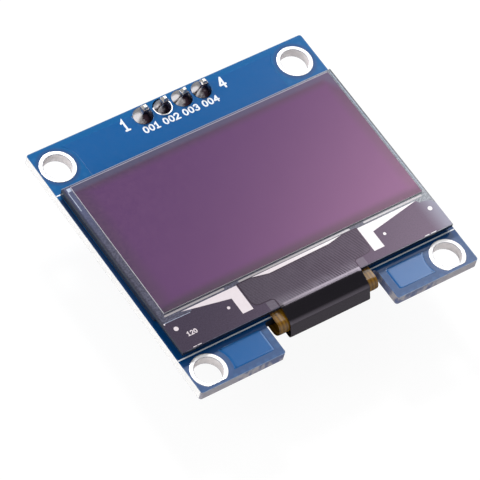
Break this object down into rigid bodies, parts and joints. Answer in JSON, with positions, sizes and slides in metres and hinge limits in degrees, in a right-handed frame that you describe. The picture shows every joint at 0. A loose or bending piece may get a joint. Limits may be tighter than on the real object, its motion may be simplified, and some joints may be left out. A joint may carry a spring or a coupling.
{
  "type": "small graphic display module",
  "caption": "Glass display panel on a notched circuit board, with its ribbon folded to the rear and a row of header pins.",
  "frame": {"origin": "centre of the four mounting holes, on the board's rear face", "axes": "+Z leaves the display's face, +Y points to the header's edge, +X to the right seen from the front"},
  "size_m": [0.0356, 0.0335, 0.0115],
  "materials": {
    "board": "satin solder mask over glass-fibre laminate",
    "tinned_copper": "tin-plated, satin",
    "foam": "matt foam tape",
    "glass_edge": "panel glass with the dark cell behind it, polished",
    "polariser": "glossy film, dark purple",
    "ledge_film": "dark metal film seen through glass",
    "window_white": "clear windows over white backing",
    "chip": "polished silicon die",
    "polyimide": "amber polyimide film, satin",
    "black_tape": "black adhesive tape, semi-gloss",
    "solder": "bright solder",
    "black_plastic": "moulded, matt",
    "pin_metal": "tinned brass, bright",
    "resistor_ceramic": "white ceramic with a dark top coat",
    "capacitor_ceramic": "tan ceramic",
    "print": "white screen print"
  },
  "bodies": {
    "root": {"circuit_board": "board", "hole_linings": "tinned_copper", "pin_linings": "tinned_copper", "rear_pads": "tinned_copper", "foam_tape": "foam", "cover_glass": "glass_edge", "front_glass": "glass_edge", "polariser": "polariser", "ledge_film": "ledge_film", "driver_chip": "chip", "ribbon": "polyimide", "fold_tape": "black_tape", "ribbon_solder": "solder", "header_housing": "black_plastic", "header_pin_1": "pin_metal", "header_pin_2": "pin_metal", "header_pin_3": "pin_metal", "header_pin_4": "pin_metal", "solder_joint_1": "solder", "solder_joint_2": "solder", "solder_joint_3": "solder", "solder_joint_4": "solder", "resistor_bodies": "resistor_ceramic", "resistor_ends": "tinned_copper", "capacitor_bodies": "capacitor_ceramic", "capacitor_ends": "tinned_copper", "regulator_body": "black_plastic", "regulator_leads": "tinned_copper", "diode_body": "black_plastic", "diode_leads": "tinned_copper"}
  },
  "joints": []
}
